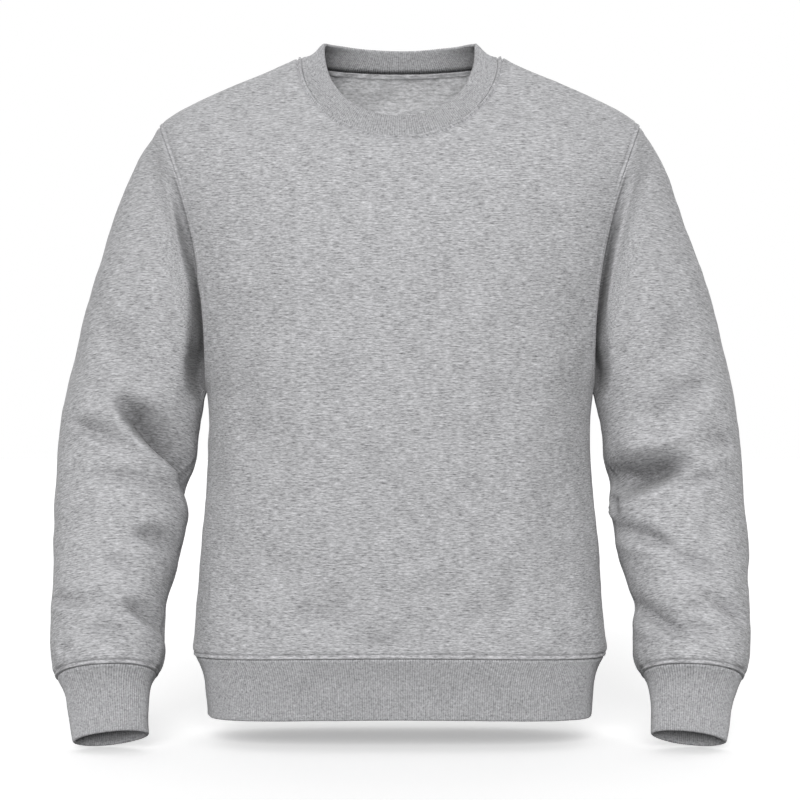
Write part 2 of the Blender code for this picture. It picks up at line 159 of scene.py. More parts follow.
# The arm in sections that turn like a fan about the underarm, then cross the arm. Each
# runs from a point at the body to a point outside, both seen from the front.
SLEEVE = Table(
    "along   body_x  body_z   out_x   out_z    middle   depth   bow     pitch square",
    (+0.000, 0.2034, -0.3500, 0.2526, -0.0740, +0.0040, 0.0650, 0.0185, 0.00, 2.00),
    (+0.039, 0.2043, -0.3530, 0.2750, -0.1080, +0.0050, 0.0630, 0.0110, 0.00, 2.50),
    (+0.084, 0.2052, -0.3560, 0.2920, -0.1500, +0.0060, 0.0635, 0.0070, 0.00, 2.45),
    (+0.129, 0.2061, -0.3595, 0.3070, -0.1920, +0.0070, 0.0640, 0.0040, 0.00, 2.40),
    (+0.173, 0.2070, -0.3635, 0.3210, -0.2340, +0.0080, 0.0645, 0.0020, 0.01, 2.30),
    (+0.217, 0.2080, -0.3690, 0.3330, -0.2760, +0.0080, 0.0645, 0.0000, 0.03, 2.25),
    (+0.261, 0.2095, -0.3770, 0.3430, -0.3190, +0.0060, 0.0640, 0.0000, 0.06, 2.20),
    (+0.304, 0.2118, -0.3880, 0.3520, -0.3600, +0.0030, 0.0630, 0.0000, 0.10, 2.20),
    (+0.336, 0.2140, -0.4040, 0.3565, -0.3920, -0.0010, 0.0620, 0.0000, 0.14, 2.20),
    (+0.364, 0.2145, -0.4290, 0.3583, -0.4190, -0.0050, 0.0605, 0.0000, 0.19, 2.20),
    (+0.390, 0.2185, -0.4520, 0.3595, -0.4440, -0.0100, 0.0590, 0.0000, 0.24, 2.20),
    (+0.424, 0.2225, -0.4820, 0.3615, -0.4760, -0.0170, 0.0575, 0.0000, 0.28, 2.20),
    (+0.462, 0.2265, -0.5150, 0.3620, -0.5120, -0.0270, 0.0555, 0.0000, 0.32, 2.20),
    (+0.499, 0.2350, -0.5450, 0.3608, -0.5450, -0.0370, 0.0530, 0.0000, 0.36, 2.20),
    (+0.534, 0.2430, -0.5750, 0.3603, -0.5770, -0.0480, 0.0505, 0.0000, 0.38, 2.20),
    (+0.567, 0.2425, -0.6050, 0.3590, -0.6080, -0.0590, 0.0485, 0.0000, 0.40, 2.20),
    (+0.592, 0.2433, -0.6270, 0.3570, -0.6310, -0.0665, 0.0475, 0.0000, 0.40, 2.20),
    (+0.604, 0.2460, -0.6360, 0.3545, -0.6410, -0.0700, 0.0455, 0.0000, 0.40, 2.15),
    (+0.613, 0.2495, -0.6415, 0.3505, -0.6470, -0.0720, 0.0415, 0.0000, 0.40, 2.10),
    (+0.622, 0.2535, -0.6490, 0.3460, -0.6550, -0.0750, 0.0355, 0.0000, 0.40, 2.05),
    (+0.632, 0.2555, -0.6580, 0.3415, -0.6650, -0.0790, 0.0305, 0.0000, 0.40, 2.00),
    (+0.646, 0.2563, -0.6700, 0.3380, -0.6780, -0.0840, 0.0270, 0.0000, 0.41, 2.00),
    (+0.664, 0.2560, -0.6860, 0.3345, -0.6940, -0.0905, 0.0252, 0.0000, 0.42, 2.00),
    (+0.682, 0.2555, -0.7000, 0.3315, -0.7090, -0.0965, 0.0245, 0.0000, 0.42, 2.00),
)

# The hollow that runs down the sleeve beside the armhole seam, by height: the share of
# the sleeve's depth that it loses, and the width over which it comes back.
ARMHOLE_HOLLOW = Table(
    "z       share  right   left",
    (-0.405, 0.000, 0.0100, 0.0080),
    (-0.375, 0.700, 0.0100, 0.0080),
    (-0.350, 0.930, 0.0110, 0.0085),
    (-0.305, 0.880, 0.0110, 0.0085),
    (-0.240, 0.620, 0.0110, 0.0080),
    (-0.180, 0.320, 0.0100, 0.0075),
    (-0.130, 0.050, 0.0080, 0.0070),
    (-0.110, 0.000, 0.0080, 0.0070),
)
HOLLOW_EDGE = 1.6 * MM
HOLLOW_FLOOR = 4.0 * MM
HALF_CLEAR = 6.0 * MM

# A crease bends from a start by way of a middle to an end. On a sleeve each place is a
# turn in degrees, from 0 outside by 90 in front to 180 at the body, and a length down the
# sleeve. On a panel it is a distance across from the middle, and a height. It has its own
# width above its line and below it. A depth below nought is a ridge.
Crease = namedtuple(
    "Crease", "across along via_across via_along to_across to_along above below depth"
)

RIGHT_SLEEVE_CREASES = (
    (76, 0.286, 116, 0.373, 222, 0.404, 0.02, 0.008, 0.036),
    (140, 0.386, 172, 0.398, 214, 0.41, 0.015, 0.012, 0.008),
    (28, 0.334, 78, 0.346, 108, 0.38, 0.011, 0.005, 0.009),
    (60, 0.398, 118, 0.398, 185, 0.424, 0.011, 0.009, 0.007),
    (100, 0.464, 140, 0.467, 196, 0.474, 0.012, 0.009, 0.0115),
    (84, 0.492, 105, 0.504, 130, 0.515, 0.007, 0.006, 0.0054),
    (15, 0.532, 68, 0.546, 100, 0.545, 0.008, 0.006, 0.0074),
    (104, 0.546, 140, 0.556, 205, 0.572, 0.01, 0.008, 0.0108),
    (72, 0.578, 98, 0.571, 136, 0.582, 0.006, 0.005, 0.007),
    (34, 0.594, 50, 0.59, 66, 0.586, 0.005, 0.0045, 0.0046),
    (86, 0.334, 112, 0.374, 146, 0.4, 0.008, 0.011, -0.003),
    (66, 0.384, 104, 0.396, 136, 0.406, 0.011, 0.011, -0.002),
    (72, 0.518, 105, 0.54, 142, 0.565, 0.008, 0.008, -0.0041),
    (56, 0.57, 104, 0.541, 144, 0.52, 0.008, 0.008, -0.0041),
    (40, 0.19, 84, 0.235, 118, 0.262, 0.018, 0.016, 0.0034),
    (196, 0.33, 250, 0.322, 300, 0.35, 0.015, 0.009, 0.0095),
    (190, 0.424, 240, 0.44, 300, 0.428, 0.012, 0.008, 0.007),
    (205, 0.5, 255, 0.486, 320, 0.502, 0.011, 0.008, 0.0081),
    (196, 0.56, 250, 0.574, 310, 0.56, 0.009, 0.007, 0.0081),
    (230, 0.23, 270, 0.262, 318, 0.25, 0.018, 0.015, 0.0044),
)

LEFT_SLEEVE_CREASES = (
    (74, 0.366, 130, 0.432, 216, 0.364, 0.016, 0.012, 0.033),
    (112, 0.41, 150, 0.41, 200, 0.404, 0.011, 0.009, 0.004),
    (186, 0.404, 166, 0.416, 148, 0.436, 0.006, 0.005, 0.009),
    (50, 0.28, 92, 0.3, 134, 0.344, 0.015, 0.015, 0.007),
    (28, 0.362, 55, 0.358, 80, 0.364, 0.01, 0.008, 0.0045),
    (50, 0.406, 84, 0.398, 116, 0.42, 0.008, 0.006, 0.006),
    (100, 0.488, 128, 0.46, 195, 0.434, 0.009, 0.0075, 0.0108),
    (82, 0.446, 76, 0.46, 66, 0.474, 0.006, 0.006, 0.0036),
    (62, 0.516, 92, 0.496, 128, 0.48, 0.008, 0.006, 0.0073),
    (96, 0.59, 130, 0.558, 200, 0.52, 0.01, 0.008, 0.0113),
    (20, 0.56, 60, 0.55, 92, 0.532, 0.009, 0.006, 0.0084),
    (64, 0.578, 95, 0.567, 130, 0.584, 0.006, 0.005, 0.0068),
    (76, 0.348, 116, 0.366, 160, 0.354, 0.012, 0.008, -0.005),
    (96, 0.392, 124, 0.408, 146, 0.42, 0.009, 0.009, -0.0032),
    (70, 0.52, 98, 0.545, 138, 0.574, 0.008, 0.008, -0.0049),
    (70, 0.556, 98, 0.54, 140, 0.524, 0.008, 0.008, -0.0038),
    (48, 0.17, 80, 0.21, 112, 0.25, 0.018, 0.016, 0.0032),
    (192, 0.35, 245, 0.336, 305, 0.356, 0.015, 0.009, 0.0092),
    (200, 0.428, 255, 0.422, 310, 0.44, 0.011, 0.008, 0.007),
    (190, 0.492, 245, 0.508, 305, 0.496, 0.01, 0.008, 0.0081),
    (205, 0.566, 255, 0.552, 325, 0.566, 0.009, 0.007, 0.0078),
    (236, 0.25, 275, 0.236, 322, 0.266, 0.018, 0.015, 0.0042),
)

FRONT_CREASES = (
    (-0.135, -0.535, -0.112, -0.5, -0.088, -0.455, 0.015, 0.015, -0.003),
    (-0.17, -0.575, -0.145, -0.562, -0.118, -0.552, 0.018, 0.018, -0.003),
    (-0.115, -0.58, -0.075, -0.575, -0.035, -0.59, 0.018, 0.013, 0.0036),
    (0.05, -0.6, 0.072, -0.56, 0.082, -0.505, 0.013, 0.013, -0.0028),
    (0.098, -0.6, 0.112, -0.56, 0.118, -0.52, 0.012, 0.012, 0.0024),
    (-0.06, -0.612, -0.01, -0.606, 0.04, -0.612, 0.012, 0.009, 0.003),
    (-0.15, -0.4, -0.128, -0.34, -0.118, -0.28, 0.024, 0.024, -0.0034),
    (0.15, -0.42, 0.13, -0.35, 0.12, -0.28, 0.024, 0.024, -0.0032),
)

BACK_CREASES = (
    (-0.12, -0.56, -0.08, -0.52, -0.05, -0.47, 0.018, 0.013, 0.004),
    (0.06, -0.59, 0.09, -0.55, 0.135, -0.52, 0.016, 0.012, 0.0038),
    (-0.07, -0.606, -0.01, -0.596, 0.05, -0.606, 0.013, 0.01, 0.0034),
    (-0.165, -0.4, -0.13, -0.34, -0.085, -0.3, 0.022, 0.016, 0.0042),
    (0.165, -0.39, 0.125, -0.345, 0.095, -0.29, 0.022, 0.016, 0.0042),
    (-0.1, -0.11, 0.0, -0.135, 0.1, -0.11, 0.022, 0.02, 0.003),
)

# The points along a crease, and the widths within which it shapes the cloth.
CREASE_POINTS, CREASE_REACH = 13, 4
# It starts at a share of its width, and has all of it after a share of its length. It
# deepens over the first share of its length, and fades over the last.
CREASE_NARROW, CREASE_WIDENS = 0.5, 0.5
CREASE_DEEPENS, CREASE_FADES = 0.3, 0.55
# The cloth swells beside it: by a share of its depth, and in its widths how far away and
# over what half width. Creases deeper than the limit swell no more.
SWELL_ABOVE, SWELL_BELOW = (0.12, 2.3, 0.9), (0.25, 2.0, 0.8)
SWELL_DEPTH = 12.0 * MM
# Painted shade darkens the colour in a crease, by up to a share of it at the crease's full depth.
FULL_DEPTH = 26.0 * MM
PAINTED_FOLD_SHADE = 0.62
# The hollow beside the armhole gets painted shade like a crease, from the share of depth it loses,
# times this.
PAINTED_HOLLOW_SHADE = 1.1

# The soft unevenness of cloth that nothing fills: layers by height, length and seed. It is
# calm beside a seam.
RUMPLE = ((1.1 * MM, 95 * MM, 3), (0.45 * MM, 38 * MM, 5), (0.12 * MM, 14 * MM, 8))
WAVE_COUNT, WAVE_SPREAD = 16, (0.7, 1.4)
CALM = 18 * MM

# The profile of a seam by the distance from it: the cloth is tucked in at the seam, swells
# into a ridge over the turned edges, and is drawn in again where it is stitched down.
TUCK, TUCK_HALF = 1.4 * MM, 0.8 * MM
RIDGE, RIDGE_AT, RIDGE_HALF = 1.2 * MM, 2.5 * MM, 1.3 * MM
STITCHED, STITCHED_AT, STITCHED_HALF = 1.5 * MM, 4.8 * MM, 0.75 * MM
PUFF, PUFF_AT, PUFF_HALF = 0.5 * MM, 9.0 * MM, 3.5 * MM
PLAIN_TUCK, PLAIN_TUCK_HALF = 1.1 * MM, 1.0 * MM
PLAIN_PUFF, PLAIN_PUFF_AT = 0.6 * PUFF, 2 * RIDGE_AT
ALLOWANCE, ALLOWANCE_WIDTH, ALLOWANCE_EDGE = 1.0 * MM, 6.5 * MM, 0.9 * MM
SEAM_GAP = 0.15 * MM
SEAM_TURN = 4.0 * MM
SEAM_REACH = 45.0 * MM
PUCKER, PUCKER_LENGTH, PUCKER_REACH = 0.7 * MM, 16.0 * MM, 16.0 * MM
PUCKER_START, PUCKER_SEED = 5 * MM, 11
NECK_STRENGTH = 1.5
# Down the armhole the topstitching fades to a lower strength: it has that strength from
# a height down, and fades over the stretch just above it.
ARMHOLE_STRENGTH, ARMHOLE_FLAT, ARMHOLE_FLATTENS = 0.15, -0.155, 0.05

RIB_PITCH = 2.3 * MM
RIB_RISE = 0.5 * MM
COLUMNS_PER_RIB = 4
# Past this share of the way through the band to a face, the ribs rise from that face.
RIB_FACE = 0.9

STITCH_PITCH = 3.2 * MM
STITCH_LENGTH = 2.7 * MM
STITCH_START = 0.1
THREAD, THREAD_TIP, THREAD_SWELL = 0.26 * MM, 0.45, 0.5
THREAD_ARCH, THREAD_SINK, THREAD_BOW = 0.45 * MM, 0.15 * MM, 0.6
THREAD_SIDES = 6
THREAD_RINGS = 5

# Distances from a seam at which the grid has its finer rows and columns.
SEAM_STATIONS = np.array([0, 0.6, 1.2, 1.9, 2.7, 3.4, 4.0, 4.6, 5.2, 6.2, 7.8, 10.0, 12.8]) * MM
STEP = 3.4 * MM
SIDE_STEP = 1.1 * STEP
BAND_STATIONS = np.array([0, 0.5, 1.0, 1.7, 2.6, 4.0]) * MM
BAND_STEP, BAND_BACK_STEP, BAND_LEAST, BAND_TURN = 4.2 * MM, 8 * MM, 5, 6
ARMHOLE_STEPS = 85
SLEEVE_STEPS = 132
# The columns of a panel, and its rows above the armholes, are spread over these lengths.
PANEL_WIDTH, YOKE_RISE = 0.46, 0.12
# Steps that measure half a section, a panel's height, a band's girth and a band's seam.
SECTION_STEPS, HEIGHT_STEPS, GIRTH_STEPS, RING_STEPS = 24, 599, 4000, 720
# A step in angle or level that shows which way a surface faces.
NUDGE = 0.002

CAMERA_PLACE = (0.0003, -2.6, -0.361)
LENS, SENSOR = 111, 36
FLOOR_HALF, FLOOR_BELOW_CUFFS = 12, 1 * MM
# The room's glow is eased from one value to another between two places: by the height of
# a direction, from -1 below to 1 above, and by how far the direction points behind.
ROOM_LOW = (-0.2, 0.3, 0.04, 0.58)
ROOM_HIGH = (0.35, 0.95, 0.0, 0.58)
ROOM_REAR = (0.1, 0.9, 0.0, 1.5)
ROOM_LIFTED = (0.1, 0.5, 0.0, 1.0)

# The noises of a heather's colour: size beside a streak's, shift and detail. The cloud's
# size is its own. The weights follow the same order.
STREAK = (1.0, 1.0, 3.1, 2.0)
FLECK = (0.5, 0.6, 7.7, 2.0)
LONG_STREAK = (2.4, 1.4, 4.6, 1.0)
CLOUD = (34 * MM, 22 * MM, 1.3)
YARN_WEIGHTS = (1.3, 1.0, 0.7, 0.22)
# The relief of the knit: how far its loops lean and half their height, the nap's noise,
# and the weights of loops, nap and streaks.
LOOP_LEAN, LOOP_HALF = 1.6, 0.5
NAP = (1.6 * MM, 0.9 * MM, 5.2, 3.0)
RELIEF_WEIGHTS = (0.35, 0.9, 0.35)
RELIEF, RELIEF_STRENGTH = 0.6 * MM, 0.6

EVERYWHERE = slice(None)
FIRST, LAST = (0, EVERYWHERE), (-1, EVERYWHERE)
# The wearer's sides by the sign of X.
HANDS = {1: "left", -1: "right"}


def between(low, high, share):
    return low + (high - low) * share


def ease(share):
    """0 to 1 with a level start and end."""
    share = np.clip(share, 0, 1)
    return share * share * (3 - 2 * share)


def bump(distance, at, half):
    return np.exp(-(((distance - at) / half) ** 2))


def length_of(vectors):
    return np.sqrt((vectors * vectors).sum(-1, keepdims=True))


def unit(vectors):
    return vectors / np.maximum(length_of(vectors), 1e-12)


def torso(turn, z, face):
    """Points of the body, turn being the angle from the middle of a face to its side."""
    power = TORSO("square", z)
    share = np.sin(turn)
    depth = np.where(face == FRONT, TORSO("front", z), TORSO("back", z))
    y = face * depth * np.maximum(1 - np.abs(share) ** power, 0) ** (1 / power)
    return np.stack(np.broadcast_arrays(TORSO("width", z) * share, y, z), -1)


def turn_at(x, z):
    return np.arcsin(np.clip(x / TORSO("width", z), -1, 1))


def armhole(angle):
    """The armhole seam as x and z: angle 0 is the shoulder point, pi the underarm."""
    share = (1 + np.cos(angle)) / 2
    bow = ARMHOLE_BOW * np.sin(angle) ** 2
    return between(UNDERARM_X, SHOULDER_X, share) - bow, between(UNDERARM_Z, SHOULDER_Z, share)


def neckline(angle):
    """The neckline all round as points: angle 0 is the middle of the front."""
    face = np.where(np.cos(angle) >= 0, FRONT, BACK)
    drop = np.where(face == FRONT, NECK_FRONT_DROP, NECK_BACK_DROP)
    z = -drop * np.abs(np.cos(angle))
    return torso(turn_at(NECK_HALF * np.sin(angle), z), z, face)


def arm(side, angle, along):
    """Points of a sleeve or cuff: angle 0 is outside, half pi in front, pi at the body."""
    low_x, low_z = SLEEVE("body_x", along), SLEEVE("body_z", along)
    half_x, half_z = (SLEEVE("out_x", along) - low_x) / 2, (SLEEVE("out_z", along) - low_z) / 2
    power = 2 / SLEEVE("square", along)
    cos, sin = np.cos(angle), np.sin(angle)
    out = np.sign(cos) * np.abs(cos) ** power
    ahead = np.sign(sin) * np.abs(sin) ** power
    x = low_x + half_x * (1 + out) - SLEEVE("bow", along) * sin**2
    z = low_z + half_z * (1 + out)
    middle = SLEEVE("middle", along)
    y = middle - SLEEVE("depth", along) * ahead
    seam_x, seam_z = armhole(angle)
    seam = torso(turn_at(seam_x, seam_z), seam_z, np.where(ahead > 0, FRONT, BACK))
    y = between(seam[..., 1], y, ease(along / SEAM_BLEND))
    z = z + (middle - y) * SLEEVE("pitch", along)
    return np.stack(np.broadcast_arrays(side * x, y, z), -1)


def neckband(angle, level):
    """Points of the neckband, level 0 at the neckline and 1 at its folded top edge."""
    low = neckline(angle)
    ahead = np.cos(angle)
    reach = np.where(ahead > 0, -COLLAR_FRONT, -COLLAR_BACK)
    share = (1 + COLLAR_ROUND) * ahead**2 / (np.abs(ahead) + COLLAR_ROUND)
    fall = between(COLLAR_SIDE_TOP, COLLAR_FRONT_TOP, share**COLLAR_SQUARE)
    arch = between(COLLAR_SIDE_TOP, COLLAR_BACK_TOP, share) + COLLAR_BACK_ARCH * share * (1 - share)
    top_z = np.where(ahead > 0, fall, arch)
    high = np.stack([COLLAR_HALF * np.sin(angle), reach * ahead, top_z], -1)
    away = unit(low * (1, 1, 0))
    climb = high - low
    out = away * climb[..., 2:] - (climb * away).sum(-1, keepdims=True) * (0, 0, 1)
    level = np.asarray(level)[..., None]
    flare = COLLAR_FLARE * (1 - level) * np.sin(angle)[..., None] ** 4
    return low + climb * level + unit(out) * (COLLAR_BULGE - flare) * np.sin(math.pi * level)


def hem_band(angle, level):
    """Points of the hem band, level 0 at its seam and 1 at its folded lower edge."""
    z = between(HEM_SEAM, HEM_END, level) + HEM_LIFT * np.cos(angle) ** 2
    face = np.where(np.cos(angle) >= 0, FRONT, BACK)
    return torso(np.arcsin(np.sin(angle)), z, face)


def cuff(side):
    return lambda angle, level: arm(side, angle, between(CUFF_SEAM, CUFF_END, level))


def waves(places, length, seed):
    """Low hills about a length apart, mostly between -1 and 1, the same across any seam."""
    draw = np.random.default_rng(seed)
    ways = unit(draw.normal(size=(WAVE_COUNT, 3))) * 2 * math.pi / length
    ways *= draw.uniform(*WAVE_SPREAD, (WAVE_COUNT, 1))
    phases = draw.uniform(0, 2 * math.pi, WAVE_COUNT)
    return np.sin(places @ ways.T + phases).sum(-1) / math.sqrt(WAVE_COUNT)


def stations(length, step, first, last):
    """Distances from 0 to a length, finer beside a seam at the first or last end."""
    start = SEAM_STATIONS if first else SEAM_STATIONS[:1]
    end = length - (SEAM_STATIONS if last else SEAM_STATIONS[:1])[::-1]
    count = math.ceil((end[0] - start[-1]) / step)
    return np.concatenate([start, np.linspace(start[-1], end[0], count + 1)[1:-1], end])


class Cloth:
    """A grid of points on the garment's form, and where each lies on the flat cloth.

    On a tube the flat grid has one column more, because its first and last columns meet.
    """

    def __init__(self, points, flat, tube):
        self.points, self.flat, self.tube = points, flat, tube
        self.rows, self.columns = points.shape[:2]
        padded = np.concatenate([points[:, -1:], points, points[:, :1]], 1) if tube else points
        across = np.gradient(padded, axis=1)
        across = across[:, 1:-1] if tube else across
        facing = unit(np.cross(across, np.gradient(points, axis=0)))
        centre = points.mean(axis=1, keepdims=True)
        self.outward = (facing * (points - centre)).sum() > 0
        self.facing = facing if self.outward else -facing
        self.lift = np.zeros(points.shape[:2])
        self.thickness = np.full(points.shape[:2], CLOTH)
        # Painted shade per point: how much creases and the armhole hollow darken its colour.
        self.depth = np.zeros(points.shape[:2])
        self.seams = {}

    def settle(self):
        """Moves the outer points by their lift, and works out the inner ones."""
        shift = np.zeros_like(self.points)
        shift[0] += unit(self.points[1] - self.points[0])
        shift[-1] += unit(self.points[-2] - self.points[-1])
        if not self.tube:
            shift[:, 0] += unit(self.points[:, 1] - self.points[:, 0])
            shift[:, -1] += unit(self.points[:, -2] - self.points[:, -1])
        self.outer = self.points + shift * SEAM_GAP + self.facing * self.lift[..., None]
        thickness = np.maximum(self.thickness, THINNEST)
        self.inner = self.outer - self.facing * thickness[..., None]


class Seam:
    """A sewn line, and the way it faces between the cloths that meet at it."""

    def __init__(self, points, facing, others, ring):
        if ring:
            points = np.concatenate([points, points[:1]])
            facing = np.concatenate([facing, facing[:1]])
        for other_points, other_facing in others:
            gaps = length_of(points[:, None] - other_points[None])[..., 0]
            facing = facing + other_facing[gaps.argmin(1)]
        self.points, self.facing = points, unit(facing)
        self.steps = np.diff(points, axis=0)
        runs = length_of(self.steps)[:, 0]
        self.start = np.concatenate([[0], np.cumsum(runs)])[:-1]
        self.runs = runs

    def near(self, places):
        """For each place, its distance from the seam, the seam's facing and the run there."""
        flat = places.reshape(-1, 3)
        distance = np.full(len(flat), 1.0)
        facing = np.zeros((len(flat), 3))
        run = np.zeros(len(flat))
        coarse = length_of(flat[:, None] - self.points[None, ::12])[..., 0].min(1)
        spacing = 12 * self.runs.max()
        for part in np.array_split(np.flatnonzero(coarse < SEAM_REACH + spacing), 12):
            if not len(part):
                continue
            gap = flat[part, None] - self.points[None, :-1]
            share = np.clip((gap * self.steps).sum(-1) / (self.runs**2), 0, 1)
            off = length_of(gap - share[..., None] * self.steps)[..., 0]
            nearest = off.argmin(1)
            rows = np.arange(len(part))
            share = share[rows, nearest]
            distance[part] = off[rows, nearest]
            run[part] = self.start[nearest] + share * self.runs[nearest]
            facing[part] = between(
                self.facing[nearest], self.facing[nearest + 1], share[:, None]
            )
        shape = places.shape[:-1]
        return distance.reshape(shape), facing.reshape(*shape, 3), run.reshape(shape)


def panel_cloth(face):
    """A body panel: rows from the hem seam up its sides, up the armholes, then to the neck."""
    sag = "front" if face == FRONT else "back"
    side = HEM_SEAM + stations(UNDERARM_Z - HEM_SEAM, SIDE_STEP, True, False)
    angles = np.linspace(math.pi, 0, ARMHOLE_STEPS + 1)[1:]
    hole_x, hole_z = armhole(angles)
    edge_z = np.concatenate([side, hole_z])[:, None]
    edge_turn = np.concatenate([np.full(len(side), math.pi / 2), turn_at(hole_x, hole_z)])
    edge_turn = edge_turn[:, None]
    shares = stations(PANEL_WIDTH, STEP, True, True)[None] / PANEL_WIDTH * 2 - 1
    turn = shares * edge_turn
    hold = PANEL_SAG("hold", edge_z)
    sunk = np.cos(turn) ** hold - np.maximum(np.cos(edge_turn), 0) ** hold
    z = edge_z - PANEL_SAG(sag, edge_z) * sunk
    levels = stations(YOKE_RISE, STEP, False, True)[1:, None] / YOKE_RISE
    drop = NECK_FRONT_DROP if face == FRONT else NECK_BACK_DROP
    neck_z = -drop * np.cos(shares * math.pi / 2)
    neck_turn = turn_at(NECK_HALF * np.sin(shares * math.pi / 2), neck_z)
    turn = np.concatenate([turn, between(turn[-1:], neck_turn, levels)])
    z = np.concatenate([z, between(z[-1:], neck_z, levels)])
    panel = Cloth(torso(turn, z, face), panel_flat(turn, z, face), False)
    panel.side_rows = slice(0, len(side))
    panel.armhole_rows = slice(len(side) - 1, len(side) + len(angles))
    panel.shoulder_rows = slice(len(side) + len(angles) - 1, None)
    return panel


def panel_flat(turn, z, face):
    """Across the cloth along each level section, and up it as its middle slopes."""
    steps = np.linspace(0, 1, SECTION_STEPS + 1)
    section = torso(turn[..., None] * steps, z[..., None], face)
    across = np.copysign(length_of(np.diff(section, axis=2)).sum((2, 3)), turn)
    heights = np.linspace(HEM_SEAM, 0, HEIGHT_STEPS + 1)
    depth = TORSO("front" if face == FRONT else "back", heights)
    rises = np.hypot(np.diff(heights), np.diff(depth))
    up = HEM_SEAM + np.concatenate([[0], np.cumsum(rises)])
    return np.stack([across, np.interp(z, heights, up)], -1)


def sleeve_cloth(side):
    angles = np.linspace(-math.pi, math.pi, SLEEVE_STEPS + 1)
    along = stations(CUFF_SEAM, STEP, True, True)
    wide = arm(side, angles[None], along[:, None])
    lines = unit(np.gradient(wide, axis=0))
    lines = (lines[:, 1:] + lines[:, :-1]) / 2
    steps = np.diff(wide, axis=1)
    steps -= (steps * lines).sum(-1, keepdims=True) * lines
    round_it = np.cumsum(length_of(steps)[..., 0], axis=1)
    round_it = np.concatenate([np.zeros_like(round_it[:, :1]), round_it], 1)
    round_it -= round_it[:, len(angles) // 2][:, None]
    down = length_of(np.diff(wide, axis=0))[..., 0]
    down = np.concatenate([np.zeros_like(down[:1]), np.cumsum(down, axis=0)])
    hollowed, share = hollow_beside_armhole(wide[:, :-1], side, along)
    sleeve = Cloth(hollowed, np.stack([round_it, down[-1:] - down], -1), True)
    sleeve.angles, sleeve.along = angles, along
    # Painted shade in the hollow beside the armhole.
    sleeve.depth = PAINTED_HOLLOW_SHADE * share
    return sleeve


def hollow_beside_armhole(points, side, along):
    """Sinks the sleeve towards its own middle in a strip beside the armhole seam."""
    seam = Seam(points[0], np.ones_like(points[0]), [], True)
    distance = seam.near(points)[0]
    z = points[..., 2]
    width = ARMHOLE_HOLLOW("left" if side > 0 else "right", z)
    drop = 1 - bump(distance, 0, HOLLOW_EDGE)
    rise = np.exp(-((np.maximum(distance - HOLLOW_FLOOR, 0) / width) ** 3))
    middle = SLEEVE("middle", along)[:, None]
    sunk = points.copy()
    share = ARMHOLE_HOLLOW("share", z) * drop * rise
    offset = points[..., 1] - middle
    least = np.minimum(np.abs(offset), HALF_CLEAR)
    sunk[..., 1] = middle + np.sign(offset) * np.maximum(np.abs(offset) * (1 - share), least)
    return sunk, share


def on_sleeve(sleeve, degrees, along):
    """Where a turn about a sleeve and a length down it lie on the flat cloth."""
    lap = round(degrees / 360)
    columns = np.arange(len(sleeve.angles))
    column = np.interp(math.radians(degrees - 360 * lap), sleeve.angles, columns)
    row = sleeve.flat[int(np.interp(along, sleeve.along, np.arange(len(sleeve.along))))]
    across, down = (np.interp(column, columns, row[:, axis]) for axis in (0, 1))
    return np.array([across + lap * (row[-1, 0] - row[0, 0]), down])


def crease_lift(flat, start, middle, end, crease):
    """The height a crease gives to places on the flat cloth, and the painted shade it lays on them.
    """
    t = np.linspace(0, 1, CREASE_POINTS)[:, None]
    path = start * (1 - t) ** 2 + 2 * middle * t * (1 - t) + end * t * t
    steps = np.diff(path, axis=0)
    runs = (steps**2).sum(-1)
    reach = CREASE_REACH * max(crease.above, crease.below)
    low, high = path.min(0) - reach, path.max(0) + reach
    inside = ((flat > low) & (flat < high)).all(-1)
    lift = np.zeros(flat.shape[:-1])
    painted_shade = np.zeros(flat.shape[:-1])
    if not inside.any():
        return lift, painted_shade
    gap = flat[inside][:, None] - path[None, :-1]
    share = np.clip((gap * steps).sum(-1) / runs, 0, 1)
    away = gap - share[..., None] * steps
    off = np.sqrt((away**2).sum(-1))
    nearest = off.argmin(1)
    rows = np.arange(len(nearest))
    off, share, away = off[rows, nearest], share[rows, nearest], away[rows, nearest]
    step = steps[nearest]
    up = (away[:, 1] * step[:, 0] - away[:, 0] * step[:, 1]) * np.sign(step[:, 0] + 1e-9) > 0
    progress = (nearest + share) / len(steps)
    off = off / np.where(up, crease.above, crease.below)
    off = off / between(CREASE_NARROW, 1, ease(progress / CREASE_WIDENS))
    taper = ease(progress / CREASE_DEEPENS) * ease((1 - progress) / CREASE_FADES)
    if crease.depth < 0:
        lift[inside] = -crease.depth * taper * np.exp(-off * off)
        return lift, painted_shade
    swells = [part * bump(off, at, half) for part, at, half in (SWELL_ABOVE, SWELL_BELOW)]
    swell = np.where(up, *swells)
    trough = taper * np.exp(-off * off)
    lift[inside] = min(crease.depth, SWELL_DEPTH) * taper * swell - crease.depth * trough
    painted_shade[inside] = trough * min(crease.depth / FULL_DEPTH, 1)
    return lift, painted_shade


def add_creases(cloth, creases, place):
    flat = cloth.flat[:, : cloth.columns]
    girth = cloth.flat[:, -1:, :1] - cloth.flat[:, :1, :1]
    laps = (-1, 0, 1) if cloth.tube else (0,)
    for row in creases:
        crease = Crease(*row)
        start = place(crease.across, crease.along)
        middle = place(crease.via_across, crease.via_along)
        end = place(crease.to_across, crease.to_along)
        for lap in laps:
            moved = flat + np.concatenate([lap * girth, 0 * girth], -1)
            lift, painted_shade = crease_lift(moved, start, middle, end, crease)
            cloth.lift += lift
            cloth.depth = np.maximum(cloth.depth, painted_shade)


def add_rumple(cloth):
    for height, length, seed in RUMPLE:
        cloth.lift += height * waves(cloth.points, length, seed)


